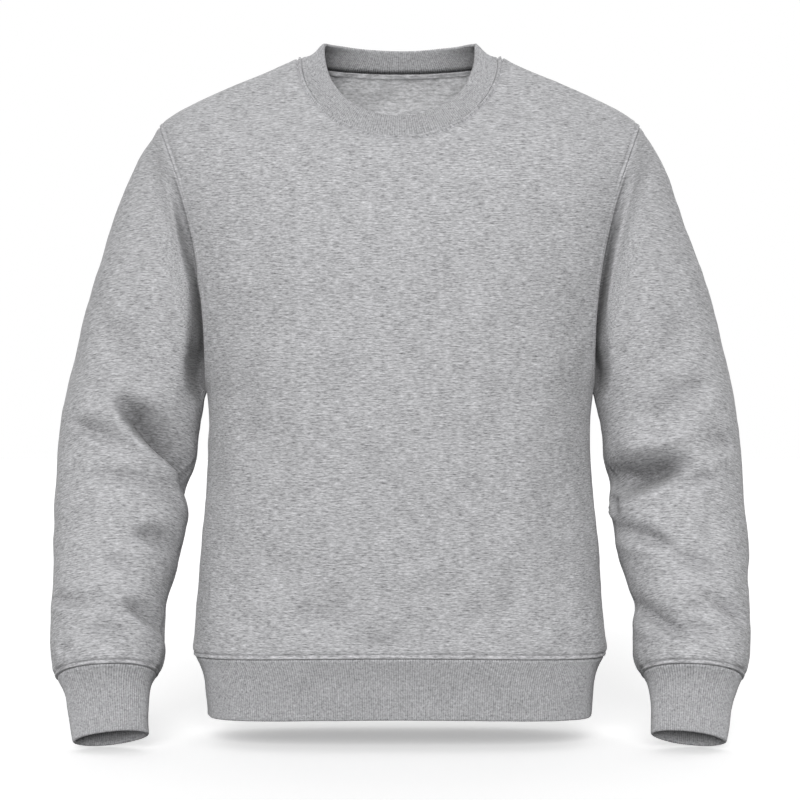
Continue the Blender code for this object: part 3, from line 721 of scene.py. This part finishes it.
def add_seam(cloth, seam, strength=None, calm=CALM):
    """Shapes a cloth beside a seam: a plain one, or one topstitched with some strength."""
    distance, facing, run = seam.near(cloth.points)
    if calm:
        cloth.lift *= ease(distance / calm)
    if strength is not None:
        profile = RIDGE * bump(distance, RIDGE_AT, RIDGE_HALF)
        profile -= STITCHED * bump(distance, STITCHED_AT, STITCHED_HALF)
        profile += PUFF * bump(distance, PUFF_AT, PUFF_HALF)
        profile = strength * profile - TUCK * bump(distance, 0, TUCK_HALF)
        cloth.lift += profile
        cloth.thickness += profile
        places = np.stack([run, 0 * run, 0 * run], -1)
        gather = waves(places, PUCKER_LENGTH, PUCKER_SEED) * ease(distance / PUCKER_START)
        cloth.lift += strength * PUCKER * gather * np.exp(-distance / PUCKER_REACH)
    else:
        cloth.lift -= PLAIN_TUCK * bump(distance, 0, PLAIN_TUCK_HALF)
        cloth.lift += PLAIN_PUFF * bump(distance, PLAIN_PUFF_AT, PUFF_HALF)
    cloth.thickness += ALLOWANCE * ease((ALLOWANCE_WIDTH - distance) / ALLOWANCE_EDGE + 0.5)
    share = np.exp(-((distance / SEAM_TURN) ** 2))[..., None]
    cloth.facing = unit(between(cloth.facing, facing, share))
    cloth.seams[seam] = distance


def quads(index):
    """The quads between the places of a grid, by their numbers."""
    corners = [index[:-1, :-1], index[:-1, 1:], index[1:, 1:], index[1:, :-1]]
    return np.stack(corners, -1).reshape(-1, 4)


def wall_faces(rows, columns, tube):
    """Quads of a grid, the same grid behind it, and the edges between them.

    They number the places of a grid as wide as the flat cloth's.
    """
    wide = columns + 1 if tube else columns
    index = np.arange(rows * wide).reshape(rows, wide)
    outer = quads(index)
    borders = [index[0], index[-1, ::-1]]
    if not tube:
        borders += [index[::-1, 0], index[:, -1]]
    behind = index.size
    rims = [
        np.stack([border[1:], border[:-1], border[:-1] + behind, border[1:] + behind], -1)
        for border in borders
    ]
    return np.concatenate([outer, outer[:, ::-1] + behind, *rims])


def new_mesh(name, points, faces, places, *materials):
    """A smooth-shaded object, its flat places kept as a UV map in metres."""
    mesh = bpy.data.meshes.new(name)
    mesh.from_pydata(points.reshape(-1, 3).tolist(), [], faces.tolist())
    layer = mesh.uv_layers.new(name="cloth")
    layer.uv.foreach_set("vector", places.astype(np.float32).ravel())
    mesh.shade_smooth()
    for material in materials:
        mesh.materials.append(material)
    piece = bpy.data.objects.new(name, mesh)
    bpy.context.scene.collection.objects.link(piece)
    return piece


def sew_piece(name, cloth, face_finish, inner_finish):
    """A cut piece as one closed wall."""
    faces = wall_faces(cloth.rows, cloth.columns, cloth.tube)
    flat = cloth.flat.reshape(-1, 2)
    places = flat[faces % len(flat)]
    wide = cloth.flat.shape[1]
    layer, spot = np.divmod(faces, cloth.rows * wide)
    row, column = np.divmod(spot, wide)
    corners = (layer * cloth.rows + row) * cloth.columns + column % cloth.columns
    if not cloth.outward:
        corners, places = corners[:, ::-1], places[:, ::-1]
    points = np.stack([cloth.outer, cloth.inner])
    piece = new_mesh(name, points, corners, places, face_finish, inner_finish)
    inside = (layer == 1).all(axis=1).astype(np.int32)
    piece.data.polygons.foreach_set("material_index", inside)
    # The painted shade of creases and the armhole hollow, on the outer face only.
    painted_shade_layer = piece.data.attributes.new("painted_shade_mask", "FLOAT", "POINT")
    painted_shade = np.clip(np.concatenate([cloth.depth.ravel(), cloth.depth.ravel() * 0]), 0, 1)
    painted_shade_layer.data.foreach_set("value", painted_shade.astype(np.float32))
    return piece


def even_angles(surface, count):
    """Angles round a band that are evenly spaced along its middle, and its girth there."""
    angles = np.linspace(-math.pi, math.pi, GIRTH_STEPS + 1)
    gaps = length_of(np.diff(surface(angles, 0.5), axis=0))[:, 0]
    run = np.concatenate([[0], np.cumsum(gaps)])
    return np.interp(np.linspace(0, run[-1], count + 1), run, angles), run[-1]


def band_rows(length):
    """The profile of a band folded double, as levels along it and depths below its face."""
    radius = RIB / 2
    down_steps = max(math.ceil(length / BAND_STEP), BAND_LEAST)
    down = np.linspace(BAND_STATIONS[-1], length - radius, down_steps)[1:]
    turn = np.linspace(0, math.pi, BAND_TURN + 1)[1:-1]
    back_steps = max(math.ceil(length / BAND_BACK_STEP), BAND_LEAST)
    back = np.linspace(length - radius, 0, back_steps)
    edge = length - radius + radius * np.sin(turn)
    along = np.concatenate([BAND_STATIONS, down, edge, back])
    outside = np.zeros(len(BAND_STATIONS) + len(down))
    depth = np.concatenate([outside, radius - radius * np.cos(turn), np.full(len(back), RIB)])
    return along / length, depth


def rib_band(name, surface, seam, material):
    """A band of rib folded double, its ribs and furrows all the way round."""
    girth = even_angles(surface, 1)[1]
    ribs = round(girth / RIB_PITCH)
    angles = even_angles(surface, ribs * COLUMNS_PER_RIB)[0]
    length = float(length_of(surface(angles, 1.0) - surface(angles, 0.0)).mean())
    levels, depth = band_rows(length)
    angle, level = angles[None, :-1], levels[:, None]
    across = surface(angle + NUDGE, level) - surface(angle - NUDGE, level)
    low, high = np.maximum(level - NUDGE, 0), np.minimum(level + NUDGE, 1)
    facing = unit(np.cross(across, surface(angle, high) - surface(angle, low)))
    points = surface(angle + 0 * level, level + 0 * angle)
    turned = (facing * (points - points.mean(axis=(0, 1)))).sum() < 0
    facing = -facing if turned else facing
    along = level * length
    share = np.exp(-((along / SEAM_TURN) ** 2))[..., None]
    facing = unit(between(facing, seam.near(points[0])[1][None], share))
    rib = np.tile([1.0, 0.0, -1.0, 0.0], ribs)[None]
    outside = 1 - 2 * (depth[:, None] / RIB)
    lift = RIB_RISE * rib * np.where(np.abs(outside) > RIB_FACE, outside, 1.0)
    lift = lift - PLAIN_TUCK * bump(along, 0, PLAIN_TUCK_HALF) * np.sign(outside)
    height, hill, seed = RUMPLE[1]
    rumple = height * waves(points, hill, seed) * ease(along / CALM)
    gap = unit(points[2] - points[0])[None] * SEAM_GAP * (along <= 0)[..., None]
    places = points + gap + facing * (lift + rumple - depth[:, None])[..., None]
    rows, columns = places.shape[:2]
    index = np.arange(rows * (columns + 1)).reshape(rows, columns + 1)
    ring = np.concatenate([index, index[:1]])
    faces = quads(ring)
    row, column = np.divmod(faces, columns + 1)
    flat = np.stack([column * RIB_PITCH / COLUMNS_PER_RIB, levels[row] * length], -1)
    corners = row * columns + column % columns
    if turned:
        corners, flat = corners[:, ::-1], flat[:, ::-1]
    piece = new_mesh(name, places, corners, flat, material)
    return piece, girth, length


def stitch_path(cloth, seam, lines):
    """Where each line of a cloth first comes a stitch's distance from a seam."""
    order, keep = lines
    away = order(cloth.seams[seam])[keep]
    points, facing = order(cloth.outer)[keep], order(cloth.facing)[keep]
    past = (away > STITCHED_AT).argmax(1)
    rows = np.arange(len(past))
    near, far = away[rows, past - 1], away[rows, past]
    share = ((STITCHED_AT - near) / (far - near))[:, None]
    return (
        between(points[rows, past - 1], points[rows, past], share),
        unit(between(facing[rows, past - 1], facing[rows, past], share)),
    )


def stitches(points, facing):
    """Short threads in a row along a path, each dipping into the cloth at its ends."""
    gaps = length_of(np.diff(points, axis=0))[:, 0]
    run = np.concatenate([[0], np.cumsum(gaps)])
    count = int(run[-1] / STITCH_PITCH)
    starts = (np.arange(count) + STITCH_START) * STITCH_PITCH
    share = np.linspace(0, 1, THREAD_RINGS)
    at = starts[:, None] + share[None] * STITCH_LENGTH
    centre = np.stack([np.interp(at, run, points[:, k]) for k in range(3)], -1)
    up = unit(np.stack([np.interp(at, run, facing[:, k]) for k in range(3)], -1))
    along = unit(np.gradient(centre, axis=1))
    across = np.cross(along, up)
    swell = np.sin(math.pi * share)
    rise = (swell**THREAD_BOW * THREAD_ARCH - THREAD_SINK)[None, :, None]
    thick = between(THREAD_TIP, 1, swell**THREAD_SWELL)[None, :, None, None] * THREAD
    angles = np.arange(THREAD_SIDES)[:, None] * 2 * math.pi / THREAD_SIDES
    circle = across[:, :, None] * np.cos(angles) + up[:, :, None] * np.sin(angles)
    places = (centre + up * rise)[:, :, None] + circle * thick
    return places.reshape(-1, 3)


def thread_faces(count):
    """Quads of all the threads' sides and ends."""
    index = np.arange(THREAD_RINGS * THREAD_SIDES).reshape(THREAD_RINGS, THREAD_SIDES)
    ring = np.concatenate([index, index[:, :1]], 1)
    start, end = index[0], index[-1]
    ends = [start[[0, 5, 4, 3]], start[[0, 3, 2, 1]], end[[0, 1, 2, 3]], end[[0, 3, 4, 5]]]
    one = np.concatenate([quads(ring), ends])
    return (one[None] + np.arange(count)[:, None, None] * index.size).reshape(-1, 4)


def topstitch(name, paths, material):
    points = np.concatenate([stitches(*path) for path in paths])
    faces = thread_faces(len(points) // (THREAD_RINGS * THREAD_SIDES))
    return new_mesh(name, points, faces, points[faces][..., [0, 2]], material)


class Value:
    """A socket that an expression turns into Math nodes."""

    def __init__(self, finish, socket):
        self.finish, self.socket = finish, socket

    def math(self, operation, *others):
        sockets = dict(enumerate((self, *others)))
        return self.finish.add("ShaderNodeMath", {"operation": operation}, sockets)

    def __add__(self, other):
        return self.math("ADD", other)

    def __mul__(self, other):
        return self.math("MULTIPLY", other)

    def __sub__(self, other):
        return self.math("SUBTRACT", other)

    def __rsub__(self, other):
        sockets = {0: other, 1: self}
        return self.finish.add("ShaderNodeMath", {"operation": "SUBTRACT"}, sockets)


class Wiring:
    """The nodes of a material or a world, each made and linked in one call."""

    def __init__(self, tree):
        self.tree = tree

    def fill(self, node, sockets):
        for key, value in sockets.items():
            if isinstance(value, Value):
                self.tree.links.new(value.socket, node.inputs[key])
            else:
                node.inputs[key].default_value = value

    def add(self, kind, settings, sockets, output=0):
        node = self.tree.nodes.new(kind)
        for key, value in settings.items():
            setattr(node, key, value)
        self.fill(node, sockets)
        return Value(self, node.outputs[output])

    def scale(self, vector, by):
        sockets = {0: vector, "Scale": by}
        return self.add("ShaderNodeVectorMath", {"operation": "SCALE"}, sockets)

    def ramp(self, value, *ends):
        """A value eased from one range into another, each given by its two ends."""
        sockets = dict(zip(("From Min", "From Max", "To Min", "To Max"), ends))
        sockets["Value"] = value
        return self.add("ShaderNodeMapRange", {"interpolation_type": "SMOOTHSTEP"}, sockets)


class Finish(Wiring):
    """A material whose Principled shader has some sockets the same all over."""

    def __init__(self, name, constants):
        self.material = bpy.data.materials.new(name)
        self.material.use_nodes = True
        super().__init__(self.material.node_tree)
        self.shader = self.tree.nodes["Principled BSDF"]
        self.fill(self.shader, constants)


def speckle(finish, flat, width, height, shift, detail=2.0):
    """Noise from 0 to 1 whose spots are a width and a height across on the flat cloth."""
    scaled = finish.add(
        "ShaderNodeVectorMath",
        {"operation": "MULTIPLY_ADD"},
        {0: flat, 1: (1 / width, 1 / height, 1), 2: (shift, 1.7 * shift, 0)},
    )
    sockets = {"Vector": scaled, "Scale": 1.0, "Detail": detail, "Roughness": 0.55}
    return finish.add("ShaderNodeTexNoise", {"noise_dimensions": "2D"}, sockets)


def heather(name, shade, contrast, streak, knit, painted_furrow_shade=0.0):
    """Mixed light and dark yarns in short streaks along the courses of the knit, with painted shade
    in creases and, on rib, painted shade in its furrows.
    """
    finish = Finish(
        name, {"Sheen Weight": 0.2, "Sheen Roughness": 0.45, "Specular IOR Level": 0.25}
    )
    flat = finish.add("ShaderNodeUVMap", {"uv_map": "cloth"}, {})
    width, height = streak
    noises = [
        speckle(finish, flat, width * wide, height * high, *rest)
        for wide, high, *rest in (STREAK, FLECK, LONG_STREAK)
    ]
    streaks, flecks, long = noises
    clouds = speckle(finish, flat, *CLOUD)
    first, second, third, fourth = YARN_WEIGHTS
    yarns = (streaks - 0.5) * first + (flecks - 0.5) * second
    yarns = yarns + (long - 0.5) * third + (clouds - 0.5) * fourth
    # Painted shade: the colour darkens where creases and the armhole hollow lie.
    painted_shade_mask = finish.add("ShaderNodeAttribute", {"attribute_name": "painted_shade_mask"}, {}, 2)
    tone = (yarns * contrast + 1.0) * (1 - painted_shade_mask * PAINTED_FOLD_SHADE)
    wale, course = knit
    spots = finish.add(
        "ShaderNodeVectorMath",
        {"operation": "MULTIPLY"},
        {0: flat, 1: (2 * math.pi / wale, 2 * math.pi / course, 1)},
    )
    split = "ShaderNodeSeparateXYZ"
    column = finish.add(split, {}, {0: spots}, 0)
    row = finish.add(split, {}, {0: spots}, 1)
    # Painted shade in the rib's furrows and painted light on its crests, at the ribs' pitch.
    if painted_furrow_shade:
        turns = finish.scale(flat, 2 * math.pi / RIB_PITCH)
        tone = tone + finish.add(split, {}, {0: turns}, 0).math("COSINE") * painted_furrow_shade
    loops = (row + column.math("SINE") * LOOP_LEAN).math("SINE") * LOOP_HALF
    first, second, third = RELIEF_WEIGHTS
    relief = loops * first + speckle(finish, flat, *NAP) * second + streaks * third
    sockets = {"Strength": RELIEF_STRENGTH, "Distance": RELIEF, "Height": relief}
    normal = finish.add("ShaderNodeBump", {}, sockets)
    colour = finish.scale(shade, tone)
    rough = 0.98 - flecks * 0.12
    finish.fill(finish.shader, {"Base Color": colour, "Normal": normal, "Roughness": rough})
    return finish.material


def thread_finish():
    finish = Finish("heather_thread", {"Roughness": 0.7, "Sheen Weight": 0.1})
    place = finish.add("ShaderNodeTexCoord", {}, {}, "Object")
    twist = finish.add("ShaderNodeTexNoise", {}, {"Vector": place, "Scale": 900.0, "Detail": 1.0})
    colour = finish.scale((0.40, 0.40, 0.412), twist * 0.25 + 0.87)
    finish.fill(finish.shader, {"Base Color": colour})
    return finish.material


def floor_finish():
    finish = Finish(
        "pale_floor",
        {
            "Roughness": 0.9,
            "Specular IOR Level": 0.1,
            "Emission Color": (1, 1, 1, 1),
            "Emission Strength": 0.34,
        },
    )
    place = finish.add("ShaderNodeTexCoord", {}, {}, "Object")
    cloud = finish.add("ShaderNodeTexNoise", {}, {"Vector": place, "Scale": 1.5, "Detail": 1.0})
    colour = finish.scale((0.95, 0.95, 0.95), cloud * 0.01 + 0.995)
    finish.fill(finish.shader, {"Base Color": colour})
    return finish.material


def make_camera():
    """Level with the middle of the garment, straight in front of it."""
    camera = bpy.data.objects.new("camera", bpy.data.cameras.new("camera"))
    camera.data.lens = LENS
    camera.data.sensor_width = SENSOR
    camera.location = CAMERA_PLACE
    camera.rotation_euler = (math.pi / 2, 0, 0)
    bpy.context.scene.collection.objects.link(camera)
    bpy.context.scene.camera = camera


def add_sun(name, place, strength, width):
    """A sun that shines from a place's way on the origin, its disc a width in degrees."""
    light = bpy.data.lights.new(name, "SUN")
    light.energy = strength
    light.angle = math.radians(width)
    lamp = bpy.data.objects.new(name, light)
    lamp.location = place
    x, y, z = place
    tilt = math.atan2(math.hypot(x, y), z)
    lamp.rotation_euler = (tilt, 0, math.atan2(-y, -x) - math.pi / 2)
    bpy.context.scene.collection.objects.link(lamp)


def make_studio():
    """A white room with a broad soft light over the camera, a faint one above, and a floor."""
    scene = bpy.context.scene
    scene.view_settings.view_transform = "Standard"
    world = bpy.data.worlds.new("white_room")
    scene.world = world
    world.use_nodes = True
    room = Wiring(world.node_tree)
    way = room.add("ShaderNodeTexCoord", {}, {}, "Generated")
    height = room.add("ShaderNodeSeparateXYZ", {}, {0: way}, 2)
    behind = room.add("ShaderNodeSeparateXYZ", {}, {0: way}, 1)
    glow = room.ramp(height, *ROOM_LOW) - room.ramp(height, *ROOM_HIGH)
    glow = glow + room.ramp(behind, *ROOM_REAR) * room.ramp(height, *ROOM_LIFTED)
    dome = room.add("ShaderNodeBackground", {}, {"Color": (1, 1, 1, 1), "Strength": glow})
    backdrop = room.add("ShaderNodeBackground", {}, {"Color": (1, 1, 1, 1), "Strength": 1.0})
    seen = room.add("ShaderNodeLightPath", {}, {}, "Is Camera Ray")
    shown = room.add("ShaderNodeMixShader", {}, {0: seen, 1: dome, 2: backdrop})
    room.fill(world.node_tree.nodes["World Output"], {"Surface": shown})
    add_sun("soft_key", (-0.12, -2, 0.68), 3.0, 32)
    add_sun("top_fill", (0.1, -0.5, 2), 0.12, 45)
    size = FLOOR_HALF
    floor_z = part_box("cuff_left")[0].z - FLOOR_BELOW_CUFFS
    corners = [(-size, -size), (size, -size), (size, size), (-size, size)]
    mesh = bpy.data.meshes.new("floor")
    mesh.from_pydata([(x, y, floor_z) for x, y in corners], [], [(0, 1, 2, 3)])
    mesh.materials.append(floor_finish())
    floor = bpy.data.objects.new("floor", mesh)
    floor.visible_diffuse = False
    scene.collection.objects.link(floor)


BANDS = {"neckband": neckband, "hem_band": hem_band, "cuff_left": cuff(1), "cuff_right": cuff(-1)}


def edge(cloth, where):
    """The places along an edge of a cloth, and the way they face."""
    return cloth.points[where].reshape(-1, 3), cloth.facing[where].reshape(-1, 3)


def ring_edge(surface):
    """The places along the seam of a band, and the way they face."""
    angles = np.linspace(-math.pi, math.pi, RING_STEPS + 1)[:-1]
    points = surface(angles, 0.0)
    across = surface(angles + NUDGE, 0.0) - surface(angles - NUDGE, 0.0)
    facing = unit(np.cross(across, surface(angles, NUDGE) - points))
    if (facing * (points - points.mean(axis=0))).sum() < 0:
        facing = -facing
    return points, facing


def find_seams(front, back, sleeves):
    """All the seams by name. The seam of a band has the band's name."""
    seams = {}
    for name, where in (("neckband", LAST), ("hem_band", FIRST)):
        others = [edge(front, where), edge(back, where)]
        seams[name] = Seam(*ring_edge(BANDS[name]), others, True)
    for side, hand in HANDS.items():
        sleeve = sleeves[side]
        column = -1 if side == 1 else 0
        hole, flank, shoulder = (
            [edge(panel, (rows, column)) for panel in (front, back)]
            for rows in (front.armhole_rows, front.side_rows, front.shoulder_rows)
        )
        cuff_edge = ring_edge(BANDS["cuff_" + hand])
        seams["armhole_" + hand] = Seam(*edge(sleeve, FIRST), hole, True)
        seams["cuff_" + hand] = Seam(*edge(sleeve, LAST), [cuff_edge], True)
        seams["under_" + hand] = Seam(*edge(sleeve, (EVERYWHERE, 0)), [], False)
        seams["flank_" + hand] = Seam(*flank[0], flank[1:], False)
        seams["shoulder_" + hand] = Seam(*shoulder[0], shoulder[1:], False)
    return seams


def shape_panel(panel, creases, seams):
    add_rumple(panel)
    add_creases(panel, creases, lambda across, up: np.array([across, up]))
    for hand in HANDS.values():
        add_seam(panel, seams["flank_" + hand])
        add_seam(panel, seams["shoulder_" + hand])
    add_seam(panel, seams["neckband"], NECK_STRENGTH)
    add_seam(panel, seams["hem_band"], 1.0)
    fade = ease((panel.points[..., 2] - ARMHOLE_FLAT) / ARMHOLE_FLATTENS)
    for hand in HANDS.values():
        add_seam(panel, seams["armhole_" + hand], between(ARMHOLE_STRENGTH, 1.0, fade))
    panel.settle()


def shape_sleeve(sleeve, creases, seams, hand):
    add_rumple(sleeve)
    add_creases(sleeve, creases, lambda across, along: on_sleeve(sleeve, across, along))
    add_seam(sleeve, seams["under_" + hand], calm=0)
    add_seam(sleeve, seams["cuff_" + hand], 1.0)
    add_seam(sleeve, seams["armhole_" + hand])
    sleeve.settle()


def topstitched(name, cloth):
    """The seams topstitched on a piece, each with the lines of its cloth that lead away."""
    upward = (lambda grid: np.swapaxes(grid, 0, 1), EVERYWHERE)
    downward = (lambda grid: np.swapaxes(grid[::-1], 0, 1), EVERYWHERE)
    if cloth.tube:
        return {name.replace("sleeve", "cuff"): downward}
    return {
        "neckband": downward,
        "hem_band": upward,
        "armhole_left": (lambda grid: grid[:, ::-1], cloth.armhole_rows),
        "armhole_right": (lambda grid: grid, cloth.armhole_rows),
    }


def build():
    loops = (1.5 * MM, 1.1 * MM)
    fleece = heather(
        "heather_fleece", (0.42, 0.42, 0.431), 1.05, streak=(6.5 * MM, 1.15 * MM), knit=loops
    )
    rib = heather(
        "heather_rib",
        (0.372, 0.372, 0.382),
        0.7,
        streak=(2.4 * MM, 2.2 * MM),
        knit=(1.15 * MM, 1.2 * MM),
        # Painted shade in the rib's furrows.
        painted_furrow_shade=0.14,
    )
    brushed = heather(
        "brushed_inside", (0.60, 0.60, 0.612), 0.75, streak=(7 * MM, 2.6 * MM), knit=loops
    )
    thread = thread_finish()

    front, back = panel_cloth(FRONT), panel_cloth(BACK)
    sleeves = {side: sleeve_cloth(side) for side in HANDS}
    seams = find_seams(front, back, sleeves)
    shape_panel(front, FRONT_CREASES, seams)
    shape_panel(back, BACK_CREASES, seams)
    shape_sleeve(sleeves[1], LEFT_SLEEVE_CREASES, seams, "left")
    shape_sleeve(sleeves[-1], RIGHT_SLEEVE_CREASES, seams, "right")

    for name, cloth, size, area in (
        ("front", front, (0.56, 0.72), 0.31),
        ("back", back, (0.56, 0.73), 0.32),
        ("sleeve_left", sleeves[1], (0.45, 0.60), 0.194),
        ("sleeve_right", sleeves[-1], (0.45, 0.60), 0.194),
    ):
        piece = sew_piece(name + "_fleece", cloth, fleece, brushed)
        paths = [
            stitch_path(cloth, seams[seam], lines)
            for seam, lines in topstitched(name, cloth).items()
        ]
        threads = topstitch(name + "_topstitch", paths, thread)
        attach(piece, "root")
        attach(threads, "root")
        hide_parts(name)
    for name, surface in BANDS.items():
        piece, girth, length = rib_band(name + "_rib", surface, seams[name], rib)
        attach(piece, "root")
        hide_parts(name)
    make_camera()
    make_studio()


build()
